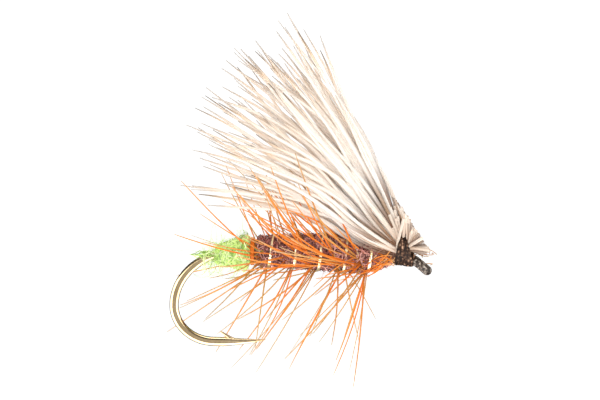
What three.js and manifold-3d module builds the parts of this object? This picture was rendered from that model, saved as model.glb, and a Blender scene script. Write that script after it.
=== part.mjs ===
// A caddis dry fly with an elk hair wing, tied on a size 12 down-eye hook.
//
// Lengths are in millimetres. +X runs forward along the shank to the hook eye, +Z is up and -Y is the
// near side. The origin is the centre of the hook eye's hole.

import * as THREE from 'three';
import { mergeVertices } from 'three/addons/utils/BufferGeometryUtils.js';
import Module from 'manifold-3d';

const wasm = await Module();
wasm.setup();

// Driving dimensions

const CLEARANCE = 0.02;
const SLIVER = 0.004;

const SHANK_HEIGHT = 0.3;
const WIRE_RADIUS = 0.22;
const EYE_DROOP = THREE.MathUtils.degToRad(38);
const EYE_RING_RADIUS = 0.42;
const EYE_WIRE_RADIUS = 0.21;
const EYE_BEND_START = -0.6;
const BEND_START = -10.3;
const BEND_REAR = { x: -13.5, z: -2.62 };
const BEND_BOTTOM = { x: -11.3, z: -4.6 };
const POINT_TIP = { x: -8.38, z: -4.4 };
const POINT_TIP_RADIUS = 0.02;
const POINT_TAPER = 2.3;
const FORGED_HALF_HEIGHT = 0.25;
const FORGED_HALF_WIDTH = 0.17;
const FORGED_SQUEEZE = 0.3;
const FORGING_END = 8.6;
const FORGING_FADE = 1.2;
const BARB_ROOT = { x: -10.35, z: -4.42 };
const BARB_TIP = { x: -10.92, z: -4.02 };
const BARB_ROOT_RADIUS = 0.13;

const THREAD_RADIUS = 0.28;
const THREAD_REAR = -11.1;
const THREAD_FRONT = -0.9;

// Windings round the shank, as stations of x, radius, and lift of the winding's middle over the wire's
const BUTT_STATIONS = [
  [-11.4, 0.33, 0.0],
  [-11.1, 0.4, -0.02],
  [-10.84, 0.49, -0.05],
  [-10.4, 0.66, -0.02],
  [-10.0, 0.8, 0.02],
  [-9.6, 0.89, 0.05],
  [-9.42, 0.84, 0.08],
  [-9.36, 0.66, 0.1],
];
const REAR_BAND_STATIONS = [
  [-9.34, 0.6, 0.12],
  [-9.29, 0.64, 0.12],
  [-9.24, 0.6, 0.12],
];
const ABDOMEN_STATIONS = [
  [-9.22, 0.62, 0.14],
  [-8.9, 0.73, 0.17],
  [-7.4, 0.82, 0.22],
  [-5.8, 0.91, 0.25],
  [-4.4, 0.96, 0.22],
  [-3.4, 0.93, 0.18],
  [-2.7, 0.72, 0.12],
  [-2.2, 0.45, 0.04],
  [-1.9, 0.34, 0.0],
];
const HEAD_STATIONS = [
  [-0.88, 0.44, 0.04],
  [-0.75, 0.46, 0.03],
  [-0.64, 0.38, 0.01],
  [-0.58, 0.3, 0.0],
];

const WRAP_START = -9.3;
const WRAP_PITCH = 1.365;
const WRAP_TURNS = 5;
const WRAP_FIRST_TURN = 0.2;
const WRAP_SKEW = 0.15;
const RIB_HALF_WIDTH = 0.085;
const RIB_HALF_THICKNESS = 0.03;
const QUILL_RADIUS = 0.07;

const BARB_COUNT = 88;
const BARB_LENGTH = 6.8;
const BARB_RADIUS = 0.035;
const BARB_END_RADIUS = 0.012;
const BARB_LEAN_REAR = 34;
const BARB_LEAN_FRONT = 8;
// How steeply barbs may rise: the wing keeps the top of the body clear, less so near the bend
const BARB_TOP_REAR = 0.88;
const BARB_TOP_FRONT = 0.55;

const COLLAR_X = -1.1;
const COLLAR_HALF_WIDTH = 0.15;
const COLLAR_MIDDLE_HEIGHT = 0.87;
const COLLAR_INNER_RADIUS = 0.905;
const COLLAR_OUTER_RADIUS = 1.03;

// The hair lies over the shank in curved layers. Each layer gives its radius about the shank, its
// hairs, how far round it reaches, and how steeply its middle hairs rise to the wing's tip
const HAIR_LAYERS = [
  { radius: 0.43, hairs: 6, reach: 75, rise: 27 },
  { radius: 0.65, hairs: 7, reach: 63, rise: 34 },
  { radius: 0.87, hairs: 8, reach: 48, rise: 42 },
  { radius: 1.09, hairs: 7, reach: 33, rise: 51 },
  { radius: 1.31, hairs: 5, reach: 18, rise: 59 },
];
const HAIR_RADIUS = 0.095;
const HAIR_TIP_RADIUS = 0.03;
const HAIR_LENGTH_LOW = 12.9;
const HAIR_LENGTH_HIGH = 14.2;
const HAIR_LENGTH_SPREAD = 1.2;
const HAIR_DROOP = 11;
const WING_SPREAD = 17;
const SIDE_DROP = 19;
const RISE_STRAY = 6;
const TRIM_POINT = { x: 0.375, z: 0.915 };
const TRIM_NORMAL = { x: 0.797, z: 0.604 };
const BUTT_RISE_LOW = 12;
const BUTT_RISE_HIGH = 109;

function finish(color, roughness, metalness) {
  return new THREE.MeshStandardMaterial({ color, roughness, metalness });
}

const BRONZED_STEEL = finish(0x8f7650, 0.3, 0.9);
const TYING_THREAD = finish(0x40342a, 0.6, 0);
const BUTT_FUR = finish(0xb4e85a, 0.95, 0);
const BODY_FUR = finish(0x6e3529, 0.95, 0);
const RIB_GOLD = finish(0xf0dc9a, 0.35, 0.6);
const HACKLE_BROWN = finish(0xd8742c, 0.5, 0);
const ELK_HAIR = finish(0xefe4d6, 0.7, 0);

const radians = THREE.MathUtils.degToRad;
const smoothstep = THREE.MathUtils.smoothstep;
const lerp = THREE.MathUtils.lerp;

// A repeatable value from 0 to 1 that looks irregular from one whole number to the next
function scatter(number) {
  const value = Math.sin(number * 12.9898 + 4.1) * 43758.5453;
  return value - Math.floor(value);
}

// Solids

function regularOutline(sides) {
  const corner = (index) => {
    const angle = ((index + 0.5) / sides) * Math.PI * 2;
    return new THREE.Vector2(Math.cos(angle), Math.sin(angle));
  };
  return new THREE.Shape(Array.from({ length: sides }, (_, index) => corner(index)));
}

// Bends a straight bar with a round section of unit radius along a route. route(t) gives the section's
// centre and its two directions, and section(t) gives its half sizes along them and its flattening
function sweep(sides, steps, route, section) {
  const options = { depth: 1, steps, bevelEnabled: false };
  const geometry = new THREE.ExtrudeGeometry(regularOutline(sides), options);
  const points = geometry.getAttribute('position');
  for (let index = 0; index < points.count; index += 1) {
    const t = points.getZ(index);
    const { centre, side, up } = route(t);
    const { wide, high, flat = wide } = section(t);
    const across = THREE.MathUtils.clamp(points.getX(index) * wide, -flat, flat);
    const point = centre.clone().addScaledVector(side, across).addScaledVector(up, points.getY(index) * high);
    points.setXYZ(index, point.x, point.y, point.z);
  }
  return welded(geometry);
}

function welded(geometry) {
  geometry.deleteAttribute('normal');
  geometry.deleteAttribute('uv');
  return mergeVertices(geometry, 1e-5);
}

function solid(geometry) {
  const vertProperties = Float32Array.from(geometry.getAttribute('position').array);
  const triVerts = Uint32Array.from(geometry.getIndex().array);
  return new wasm.Manifold(new wasm.Mesh({ numProp: 3, vertProperties, triVerts }));
}

// Joined and cut solids lose the slivers that are too small to keep
function geometryOf(manifold) {
  const { vertProperties, triVerts, numProp } = manifold.asOriginal().simplify(SLIVER).getMesh();
  const geometry = new THREE.BufferGeometry();
  const interleaved = new THREE.InterleavedBuffer(vertProperties, numProp);
  geometry.setAttribute('position', new THREE.InterleavedBufferAttribute(interleaved, 3, 0));
  geometry.setIndex(new THREE.BufferAttribute(triVerts, 1));
  return geometry;
}

// The section directions of a curve that never runs along the given sideways direction
function routeAlong(curve, sideways) {
  return (t) => {
    const tangent = curve.getTangent(t);
    const up = new THREE.Vector3().crossVectors(tangent, sideways).normalize();
    const side = new THREE.Vector3().crossVectors(up, tangent).normalize();
    return { centre: curve.getPoint(t), side, up };
  };
}

const FAR = new THREE.Vector3(0, 1, 0);
const UP = new THREE.Vector3(0, 0, 1);
const BACK = new THREE.Vector3(-1, 0, 0);

// Hook

// The wire's middle line in the plane of the hook, from the point round the bend to the eye
function wireLine() {
  const line = new THREE.Path();
  const ringRear = { x: -EYE_RING_RADIUS * Math.cos(EYE_DROOP), z: EYE_RING_RADIUS * Math.sin(EYE_DROOP) };
  const eyeBendX = ringRear.x - (SHANK_HEIGHT - ringRear.z) / Math.tan(EYE_DROOP);
  line.moveTo(POINT_TIP.x, POINT_TIP.z);
  line.quadraticCurveTo((POINT_TIP.x + BEND_BOTTOM.x) / 2, BEND_BOTTOM.z, BEND_BOTTOM.x, BEND_BOTTOM.z);
  const lower = { x: BEND_BOTTOM.x - BEND_REAR.x, z: BEND_REAR.z - BEND_BOTTOM.z };
  line.absellipse(BEND_BOTTOM.x, BEND_REAR.z, lower.x, lower.z, Math.PI * 1.5, Math.PI, true);
  const upper = { x: BEND_START - BEND_REAR.x, z: SHANK_HEIGHT - BEND_REAR.z };
  line.absellipse(BEND_START, BEND_REAR.z, upper.x, upper.z, Math.PI, Math.PI / 2, true);
  line.lineTo(EYE_BEND_START, SHANK_HEIGHT);
  line.quadraticCurveTo(eyeBendX, SHANK_HEIGHT, ringRear.x, ringRear.z);
  return line;
}

function wireRoute(line) {
  return (t) => {
    const point = line.getPoint(t);
    const tangent = line.getTangent(t);
    const centre = new THREE.Vector3(point.x, 0, point.y);
    return { centre, side: FAR, up: new THREE.Vector3(-tangent.y, 0, tangent.x) };
  };
}

function wireSolid(line) {
  const length = line.getLength();
  const section = (t) => {
    const travel = t * length;
    const taper = lerp(POINT_TIP_RADIUS / FORGED_HALF_HEIGHT, 1, Math.min(1, travel / POINT_TAPER));
    const forging = 1 - smoothstep(travel, FORGING_END, FORGING_END + FORGING_FADE);
    const neck = smoothstep(travel, length - 0.5, length);
    const radius = lerp(WIRE_RADIUS, EYE_WIRE_RADIUS, neck);
    const high = lerp(radius, FORGED_HALF_HEIGHT, forging) * taper;
    const wide = lerp(radius, FORGED_SQUEEZE, forging) * taper;
    const flat = lerp(radius, FORGED_HALF_WIDTH, forging) * taper;
    return { wide, high, flat };
  };
  return solid(sweep(20, 110, wireRoute(line), section));
}

function eyeRing() {
  const ring = new THREE.TorusGeometry(EYE_RING_RADIUS, EYE_WIRE_RADIUS, 14, 36);
  ring.rotateY(EYE_DROOP);
  return solid(welded(ring));
}

function pointBarb() {
  const root = new THREE.Vector3(BARB_ROOT.x, 0, BARB_ROOT.z);
  const tip = new THREE.Vector3(BARB_TIP.x, 0, BARB_TIP.z);
  const edge = new THREE.LineCurve3(root, tip);
  const section = (t) => {
    const radius = lerp(BARB_ROOT_RADIUS, POINT_TIP_RADIUS, t);
    return { wide: radius * 0.8, high: radius };
  };
  return solid(sweep(10, 2, routeAlong(edge, FAR), section));
}

function hook() {
  return geometryOf(wireSolid(wireLine()).add(eyeRing()).add(pointBarb()));
}

// Windings round the shank

function wireHeight(x) {
  if (x >= BEND_START) {
    return SHANK_HEIGHT;
  }
  const share = (x - BEND_START) / (BEND_START - BEND_REAR.x);
  return BEND_REAR.z + (SHANK_HEIGHT - BEND_REAR.z) * Math.sqrt(1 - share * share);
}

function stationAt(stations, place) {
  const last = stations.length - 2;
  const index = Math.min(last, Math.floor(place));
  const share = place - index;
  const towardNext = (value, item) => lerp(value, stations[index + 1][item], share);
  const [x, radius, lift] = stations[index].map(towardNext);
  return { x, radius, height: wireHeight(x) + lift };
}

function windingAt(stations, x) {
  const found = stations.findIndex(([stationX]) => stationX > x);
  const index = found === -1 ? stations.length - 2 : Math.max(0, found - 1);
  const [start] = stations[index];
  const [end] = stations[index + 1];
  return stationAt(stations, index + THREE.MathUtils.clamp((x - start) / (end - start), 0, 1));
}

// An upright section at each station, so that the winding follows the wire where it starts to bend
function windingSolid(stations, sides) {
  const steps = stations.length - 1;
  const route = (t) => {
    const { x, height } = stationAt(stations, t * steps);
    return { centre: new THREE.Vector3(x, 0, height), side: FAR, up: UP };
  };
  const section = (t) => {
    const { radius } = stationAt(stations, t * steps);
    return { wide: radius, high: radius };
  };
  return solid(sweep(sides, steps, route, section));
}

// The room that the wire and the thread on it take up inside the windings
function coreSolid(radius, rear, front) {
  const steps = 12;
  const station = (index) => [lerp(rear, front, index / steps), radius, 0];
  const stations = Array.from({ length: steps + 1 }, (_, index) => station(index));
  return windingSolid(stations, 12);
}

function winding(stations, sides) {
  const wireRoom = coreSolid(WIRE_RADIUS + CLEARANCE * 2, BEND_REAR.x + 1.2, 0);
  const threadRear = THREAD_REAR - CLEARANCE;
  const threadFront = THREAD_FRONT + CLEARANCE;
  const threadRoom = coreSolid(THREAD_RADIUS + CLEARANCE * 2, threadRear, threadFront);
  return geometryOf(windingSolid(stations, sides).subtract(wireRoom).subtract(threadRoom));
}

function threadUnderbody() {
  const wireRoom = coreSolid(WIRE_RADIUS + CLEARANCE, BEND_REAR.x + 1.2, 0);
  return geometryOf(coreSolid(THREAD_RADIUS, THREAD_REAR, THREAD_FRONT).subtract(wireRoom));
}

// Rib and hackle quill

// Turns are counted from the top of the body. Going forward, the rib climbs the near side and the quill
// comes down it, so that they cross at the top and the bottom, where the rib steps over the quill
function wrapCurve(direction, thickness, step) {
  class WrapCurve extends THREE.Curve {
    getPoint(t) {
      const turns = lerp(WRAP_FIRST_TURN, WRAP_TURNS, t);
      const angle = Math.PI / 2 + direction * turns * Math.PI * 2;
      const x = WRAP_START + turns * WRAP_PITCH - WRAP_SKEW * Math.sin(angle);
      const { radius, height } = windingAt(ABDOMEN_STATIONS, x);
      const over = step * smoothstep(Math.abs(Math.sin(angle)), 0.4, 0.8);
      const distance = radius + CLEARANCE + thickness + over;
      return new THREE.Vector3(x, -distance * Math.cos(angle), height + distance * Math.sin(angle));
    }
  }
  return new WrapCurve();
}

// Section directions of a wrap: one lies on the body and the other points away from it
function wrapRoute(curve) {
  return (t) => {
    const centre = curve.getPoint(t);
    const { height } = windingAt(ABDOMEN_STATIONS, centre.x);
    const tangent = curve.getTangent(t);
    const out = new THREE.Vector3(0, centre.y, centre.z - height).normalize();
    const side = new THREE.Vector3().crossVectors(out, tangent).normalize();
    return { centre, side, up: new THREE.Vector3().crossVectors(tangent, side) };
  };
}

function ribWire() {
  const curve = wrapCurve(1, RIB_HALF_THICKNESS, QUILL_RADIUS * 2 + CLEARANCE * 2);
  const section = () => ({ wide: RIB_HALF_WIDTH, high: RIB_HALF_THICKNESS * Math.SQRT2 });
  return sweep(4, WRAP_TURNS * 18, wrapRoute(curve), section);
}

// One hackle barb, from the quill outward: it leans back, more so near the hook bend, and bows a little
function hackleBarb(root, out, forward, index) {
  const spread = lerp(50, 24, forward) * (scatter(index) - 0.5);
  const lean = radians(lerp(BARB_LEAN_REAR, BARB_LEAN_FRONT, forward) + spread);
  const length = BARB_LENGTH * (0.86 + 0.2 * scatter(index + 500));
  const direction = out.clone().multiplyScalar(Math.cos(lean)).addScaledVector(BACK, Math.sin(lean));
  const middle = root.clone().addScaledVector(direction, length * 0.5).addScaledVector(out, length * 0.04);
  const tip = root.clone().addScaledVector(direction, length);
  const line = new THREE.QuadraticBezierCurve3(root, middle, tip);
  const section = (share) => {
    const radius = lerp(BARB_RADIUS, BARB_END_RADIUS, share);
    return { wide: radius, high: radius };
  };
  return sweep(3, 2, routeAlong(line, new THREE.Vector3(0, -out.z, out.y)), section);
}

function hackleFeather() {
  const curve = wrapCurve(-1, QUILL_RADIUS, 0);
  const section = () => ({ wide: QUILL_RADIUS, high: QUILL_RADIUS });
  let feather = solid(sweep(4, WRAP_TURNS * 14, wrapRoute(curve), section));
  for (let index = 0; index < BARB_COUNT; index += 1) {
    const forward = (index + 0.5) / BARB_COUNT;
    const root = curve.getPoint(forward);
    const { height } = windingAt(ABDOMEN_STATIONS, root.x);
    const out = new THREE.Vector3(0, root.y, root.z - height).normalize();
    if (out.z < lerp(BARB_TOP_REAR, BARB_TOP_FRONT, Math.min(1, forward * 2))) {
      feather = feather.add(solid(hackleBarb(root, out, forward, index)));
    }
  }
  return geometryOf(feather);
}

// Elk hair

// The scissors trim the butts along one slanted plane: how far a butt runs before it meets that plane
function reachToTrim(start, direction) {
  const distance = (TRIM_POINT.x - start.x) * TRIM_NORMAL.x + (TRIM_POINT.z - start.z) * TRIM_NORMAL.z;
  return distance / (direction.x * TRIM_NORMAL.x + direction.z * TRIM_NORMAL.z);
}

// A direction from its rise over the shank and its turn to the side, for +1 forward or -1 backward
function heading(way, rise, turn) {
  const level = Math.cos(rise) * Math.cos(turn);
  return new THREE.Vector3(way * level, Math.cos(rise) * Math.sin(turn), Math.sin(rise));
}

// One hair, from its trimmed butt back through the thread collar to its tip
function elkHair(layer, layerIndex, slot, number) {
  const share = (slot / (layer.hairs - 1)) * 2 - 1;
  const round = radians(layer.reach) * share;
  const middle = new THREE.Vector3(0, layer.radius * Math.sin(round), layer.radius * Math.cos(round));
  middle.z += SHANK_HEIGHT;
  const front = middle.clone().setX(COLLAR_X + COLLAR_HALF_WIDTH + 0.02);
  const rear = middle.clone().setX(COLLAR_X - COLLAR_HALF_WIDTH - 0.02);

  const rank = layerIndex / (HAIR_LAYERS.length - 1);
  const buttRise = radians(lerp(BUTT_RISE_LOW, BUTT_RISE_HIGH, rank));
  const buttWay = heading(1, buttRise, round * 0.35);
  const buttEnd = front.clone().addScaledVector(buttWay, reachToTrim(front, buttWay));
  const buttBend = front.clone().add(new THREE.Vector3(0.1 + 0.05 * (1 - rank), 0, 0.03 + 0.1 * rank));

  const stray = RISE_STRAY * (scatter(number + 300) - 0.5);
  const rise = radians(layer.rise - SIDE_DROP * (1 - Math.cos(round)) + stray);
  const turn = radians(WING_SPREAD) * Math.sin(round);
  const droop = radians(HAIR_DROOP);
  const length = lerp(HAIR_LENGTH_LOW, HAIR_LENGTH_HIGH, rank) - HAIR_LENGTH_SPREAD * scatter(number);
  const tip = rear.clone().addScaledVector(heading(-1, rise, turn), length);
  const leaving = heading(-1, rise + droop, turn * 1.9);
  const arriving = heading(-1, rise - droop * 0.6, turn * 0.7);
  const firstHold = rear.clone().addScaledVector(leaving, length * 0.09);
  const secondHold = rear.clone().addScaledVector(leaving, length * 0.3);
  const thirdHold = tip.clone().addScaledVector(arriving, -length * 0.33);
  const route = [buttEnd, buttBend, front, rear, firstHold, secondHold, thirdHold, tip];
  const curve = new THREE.CatmullRomCurve3(route, false, 'centripetal');
  const section = (t) => {
    const radius = t < 0.6 ? HAIR_RADIUS : lerp(HAIR_RADIUS, HAIR_TIP_RADIUS, (t - 0.6) / 0.4);
    return { wide: radius, high: radius };
  };
  return sweep(5, 14, routeAlong(curve, FAR), section);
}

// Thread at the head

function threadCollar() {
  const band = new THREE.Shape().absarc(0, 0, COLLAR_OUTER_RADIUS, 0, Math.PI * 2);
  band.holes.push(new THREE.Path().absarc(0, 0, COLLAR_INNER_RADIUS, 0, Math.PI * 2, true));
  const options = { depth: COLLAR_HALF_WIDTH * 2, bevelEnabled: false, curveSegments: 14 };
  const geometry = new THREE.ExtrudeGeometry(band, options);
  geometry.rotateY(Math.PI / 2);
  geometry.translate(COLLAR_X - COLLAR_HALF_WIDTH, 0, COLLAR_MIDDLE_HEIGHT);
  return welded(geometry);
}

// Assembly

const fly = new THREE.Group();

function addPiece(name, geometry, material) {
  const piece = new THREE.Mesh(geometry, material);
  piece.name = name;
  fly.add(piece);
}

addPiece('hook', hook(), BRONZED_STEEL);
addPiece('thread_underbody', threadUnderbody(), TYING_THREAD);
addPiece('egg_sac_butt', winding(BUTT_STATIONS, 16), BUTT_FUR);
addPiece('thread_rear_band', winding(REAR_BAND_STATIONS, 12), TYING_THREAD);
addPiece('dubbed_abdomen', winding(ABDOMEN_STATIONS, 16), BODY_FUR);
addPiece('rib_wire', ribWire(), RIB_GOLD);
addPiece('hackle_feather', hackleFeather(), HACKLE_BROWN);
addPiece('thread_collar', threadCollar(), TYING_THREAD);
addPiece('thread_head', winding(HEAD_STATIONS, 12), TYING_THREAD);

let hairNumber = 0;
HAIR_LAYERS.forEach((layer, layerIndex) => {
  for (let slot = 0; slot < layer.hairs; slot += 1) {
    hairNumber += 1;
    const name = `elk_hair_${String(hairNumber).padStart(2, '0')}`;
    addPiece(name, elkHair(layer, layerIndex, slot, hairNumber), ELK_HAIR);
  }
});

export default fly;
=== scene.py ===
"""A caddis dry fly with an elk hair wing, tied on a barbed size 12 hook.

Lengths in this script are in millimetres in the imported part's frame, and become metres when a mesh is
made. +X runs forward to the hook eye, +Z is up and -Y is the near side. The origin is the middle of
the eye's hole."""

import math
from typing import NamedTuple

import bpy
import numpy as np
from mathutils import Matrix, Vector, noise


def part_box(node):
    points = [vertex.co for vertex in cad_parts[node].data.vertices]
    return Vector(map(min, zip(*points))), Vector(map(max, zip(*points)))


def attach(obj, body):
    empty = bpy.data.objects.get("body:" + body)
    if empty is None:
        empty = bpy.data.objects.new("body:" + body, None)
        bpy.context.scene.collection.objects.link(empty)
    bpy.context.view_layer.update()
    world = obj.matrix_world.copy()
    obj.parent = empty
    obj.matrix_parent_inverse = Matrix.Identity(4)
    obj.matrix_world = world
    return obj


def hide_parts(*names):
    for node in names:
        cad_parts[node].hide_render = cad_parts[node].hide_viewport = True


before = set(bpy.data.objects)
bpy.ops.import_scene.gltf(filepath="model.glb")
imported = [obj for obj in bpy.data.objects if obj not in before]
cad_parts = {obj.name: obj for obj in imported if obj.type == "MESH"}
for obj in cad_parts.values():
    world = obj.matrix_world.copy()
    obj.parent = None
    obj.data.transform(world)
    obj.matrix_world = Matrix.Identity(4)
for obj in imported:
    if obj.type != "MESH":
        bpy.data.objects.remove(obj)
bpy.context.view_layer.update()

MM = 0.001
FAR = np.array([0.0, 1.0, 0.0])


# Places taken from the frame

def box_mm(node):
    """The lowest and highest corner of a CAD node, in millimetres."""
    low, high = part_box(node)
    return np.array(low) / MM, np.array(high) / MM


THREAD_LOW, THREAD_HIGH = box_mm("thread_underbody")
COLLAR_LOW, COLLAR_HIGH = box_mm("thread_collar")
HEAD_LOW, HEAD_HIGH = box_mm("thread_head")

THREAD_RADIUS = (THREAD_HIGH[1] - THREAD_LOW[1]) / 2
SHANK_HEIGHT = THREAD_HIGH[2] - THREAD_RADIUS
COLLAR_X = (COLLAR_LOW[0] + COLLAR_HIGH[0]) / 2
COLLAR_HEIGHT = (COLLAR_LOW[2] + COLLAR_HIGH[2]) / 2
COLLAR_RADIUS = (COLLAR_HIGH[2] - COLLAR_LOW[2]) / 2


# Numbers and curves

def lerp(start, end, share):
    return start + (end - start) * share


def smoothstep(value, low, high):
    share = np.clip((value - low) / (high - low), 0.0, 1.0)
    return share * share * (3 - 2 * share)


def unit(vectors):
    return vectors / np.maximum(np.linalg.norm(vectors, axis=-1, keepdims=True), 1e-9)


def smooth_curve(controls, count):
    """Points along a smooth curve from the first to the last control. The last two axes of controls
    are those of one curve."""
    first, last = controls[..., :1, :], controls[..., -1:, :]
    held = np.concatenate([first, first, controls, last, last], axis=-2)
    spans = held.shape[-2] - 3
    place = np.linspace(0, spans - 1e-6, count)
    span = place.astype(int)
    u = (place - span)[:, None]
    weights = [(1 - u) ** 3, 3 * u**3 - 6 * u**2 + 4, -3 * u**3 + 3 * u**2 + 3 * u + 1, u**3]
    return sum(held[..., span + step, :] * weight / 6 for step, weight in enumerate(weights))


def coil(x, angle, middle, radius):
    """Points wound round a line at the height of middle."""
    return np.stack([x, radius * np.cos(angle), middle + radius * np.sin(angle)], 1)


def lengths_along(paths):
    """How far along its path each point is, from 0 to 1."""
    steps = np.linalg.norm(np.diff(paths, axis=-2), axis=-1)
    travelled = np.concatenate([np.zeros_like(steps[..., :1]), np.cumsum(steps, axis=-1)], axis=-1)
    return travelled / travelled[..., -1:]


def round_line(x, middle, angle, distance):
    """Points at a distance from a line in the hook's plane, and the ways out to them. The angle is 0 on
    the near side and climbs from there."""
    out = np.stack([np.zeros_like(x), -np.cos(angle), np.sin(angle)], -1)
    return np.stack([x, np.zeros_like(x), middle], -1) + out * distance[..., None], out


# Meshes

def tube_faces(index):
    """The faces of closed tubes from the numbers of their points: tubes, rings, corners."""
    near, far = index[:, :-1], index[:, 1:]
    sides = np.stack([near, np.roll(near, -1, 2), np.roll(far, -1, 2), far], -1).reshape(-1, 4)
    return sides.tolist() + index[:, 0, ::-1].tolist() + index[:, -1].tolist()


class Strands:
    """Many round or flat strands gathered into one closed mesh, each with its own tint."""

    def __init__(self, seed):
        self.rng = np.random.default_rng(seed)
        self.points = []
        self.faces = []
        self.along = []
        self.tint = []
        self.count = 0

    def add(self, paths, radii, sides, flatness=1.0, outward=None, ends=None, tints=None, along=None):
        """paths: strands, points, 3. radii and along are numbers for each point and tints for each
        strand, or one number for all. flatness squeezes the section towards outward, which is a
        direction for each point of a flat strand."""
        strands, points = shape = paths.shape[:2]
        tangents = unit(np.gradient(paths, axis=1))
        if outward is None:
            normals = self.carried_normals(tangents)
        else:
            normals = unit(outward - tangents * np.sum(outward * tangents, -1, keepdims=True))
        others = np.cross(tangents, normals)
        angles = (np.arange(sides) + 0.5) / sides * math.tau
        around = normals[:, :, None] * np.cos(angles)[:, None] * flatness
        around = around + others[:, :, None] * np.sin(angles)[:, None]
        rings = paths[:, :, None] + around * np.broadcast_to(radii, shape)[:, :, None, None]
        if ends is not None:
            rings = ends(rings)
        along = lengths_along(paths) if along is None else along
        self.points.append(rings.reshape(-1, 3))
        self.along.append(np.repeat(np.broadcast_to(along, shape).reshape(-1), sides))
        tints = self.rng.random(strands) if tints is None else tints
        self.tint.append(np.repeat(np.broadcast_to(tints, strands), points * sides))
        index = np.arange(strands * points * sides).reshape(strands, points, sides) + self.count
        self.faces += tube_faces(index)
        self.count += index.size

    def carried_normals(self, tangents):
        """Section directions carried along each strand without twist."""
        start = unit(self.rng.normal(size=(len(tangents), 3)))
        normal = unit(start - tangents[:, 0] * np.sum(start * tangents[:, 0], -1, keepdims=True))
        carried = [normal]
        for tangent in tangents[:, 1:].transpose(1, 0, 2):
            normal = unit(normal - tangent * np.sum(normal * tangent, -1, keepdims=True))
            carried.append(normal)
        return np.stack(carried, 1)

    def build(self, name, material, sharp=60):
        points = np.concatenate(self.points)
        piece = mesh_piece(name, points, self.faces, material, sharp)
        for label, values in (("along", self.along), ("tint", self.tint)):
            attribute = piece.data.attributes.new(label, "FLOAT", "POINT")
            attribute.data.foreach_set("value", np.concatenate(values).astype(np.float32))
        return piece


def add_object(name, data):
    made = bpy.data.objects.new(name, data)
    bpy.context.scene.collection.objects.link(made)
    return made


def mesh_piece(name, points, faces, material, sharp):
    mesh = bpy.data.meshes.new(name)
    mesh.from_pydata((points * MM).tolist(), [], faces)
    mesh.polygons.foreach_set("use_smooth", np.ones(len(mesh.polygons), bool))
    mesh.set_sharp_from_angle(angle=math.radians(sharp))
    mesh.materials.append(material)
    return add_object(name, mesh)


def sleeve(name, rings, material):
    """A closed skin over rings of points, one ring for each step of its length."""
    steps, sides = rings.shape[:2]
    faces = tube_faces(np.arange(steps * sides).reshape(1, steps, sides))
    return mesh_piece(name, rings.reshape(-1, 3), faces, material, 80)


def finished(piece, slot, *nodes):
    """Puts a piece on the fly and hides the CAD nodes it stands for; slot, its finish, is not used."""
    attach(piece, "root")
    if nodes:
        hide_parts(*nodes)


# Materials

def rgba(color):
    """An opaque colour, or a grey from a single number. A socket stays as it is."""
    if isinstance(color, bpy.types.NodeSocket):
        return color
    return (*color, 1) if isinstance(color, tuple) else (color, color, color, 1)


class Wiring:
    """Short ways to add nodes to a tree."""

    def __init__(self, tree):
        self.tree = tree

    def add(self, kind, inputs=(), **properties):
        """A node with its properties and inputs: a socket is linked and anything else is a value."""
        made = self.tree.nodes.new(kind)
        for label, value in properties.items():
            setattr(made, label, value)
        for label, value in dict(inputs).items():
            if isinstance(value, bpy.types.NodeSocket):
                self.tree.links.new(value, made.inputs[label])
            else:
                made.inputs[label].default_value = value
        return made

    def ramp(self, value, stops):
        made = self.add("ShaderNodeValToRGB", {"Fac": value})
        elements = made.color_ramp.elements
        while len(elements) < len(stops):
            elements.new(1.0)
        for element, (place, color) in zip(elements, stops):
            element.position = place
            element.color = rgba(color)
        return made.outputs["Color"]


class Surface(Wiring):
    """A Principled material."""

    def __init__(self, name, roughness, **settings):
        self.material = bpy.data.materials.new(name)
        self.material.use_nodes = True
        super().__init__(self.material.node_tree)
        self.shader = self.tree.nodes["Principled BSDF"]
        self.shader.inputs["Roughness"].default_value = roughness
        for socket, value in settings.items():
            self.shader.inputs[socket.replace("_", " ")].default_value = value

    def attribute(self, label):
        return self.add("ShaderNodeAttribute", attribute_name=label).outputs["Fac"]

    def noise(self, scale, detail=3.0, stretch=(1, 1, 1)):
        place = self.add("ShaderNodeNewGeometry").outputs["Position"]
        sized = self.add("ShaderNodeVectorMath", {0: place, 1: stretch}, operation="MULTIPLY")
        settings = {"Vector": sized.outputs[0], "Scale": scale / MM, "Detail": detail}
        return self.add("ShaderNodeTexNoise", settings).outputs["Fac"]

    def mix(self, share, first, second, blend="MIX"):
        inputs = {0: share, 6: rgba(first), 7: rgba(second)}
        made = self.add("ShaderNodeMix", inputs, data_type="RGBA", blend_type=blend)
        return made.outputs[2]

    def spread(self, value, low, high):
        inputs = {"Value": value, "To Min": low, "To Max": high}
        return self.add("ShaderNodeMapRange", inputs).outputs["Result"]

    def set(self, socket, value):
        self.tree.links.new(value, self.shader.inputs[socket])

    def color(self, value):
        self.set("Base Color", value)

    def finish(self, wear, low, high, grain, depth):
        """Roughness from low to high with the wear, and bumps of a noise's grain. Gives the material."""
        self.set("Roughness", self.spread(wear, low, high))
        inputs = {"Height": self.noise(grain), "Strength": 1.0, "Distance": depth * MM}
        self.set("Normal", self.add("ShaderNodeBump", inputs).outputs["Normal"])
        return self.material

    def glow_through(self, color, share):
        """Lets a share of the light pass through, tinted, as it does through hollow hair."""
        behind = self.add("ShaderNodeBsdfTranslucent", {"Color": color}).outputs[0]
        inputs = {"Fac": share, 1: self.shader.outputs[0], 2: behind}
        mix = self.add("ShaderNodeMixShader", inputs)
        self.tree.links.new(mix.outputs[0], self.tree.nodes["Material Output"].inputs["Surface"])


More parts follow.
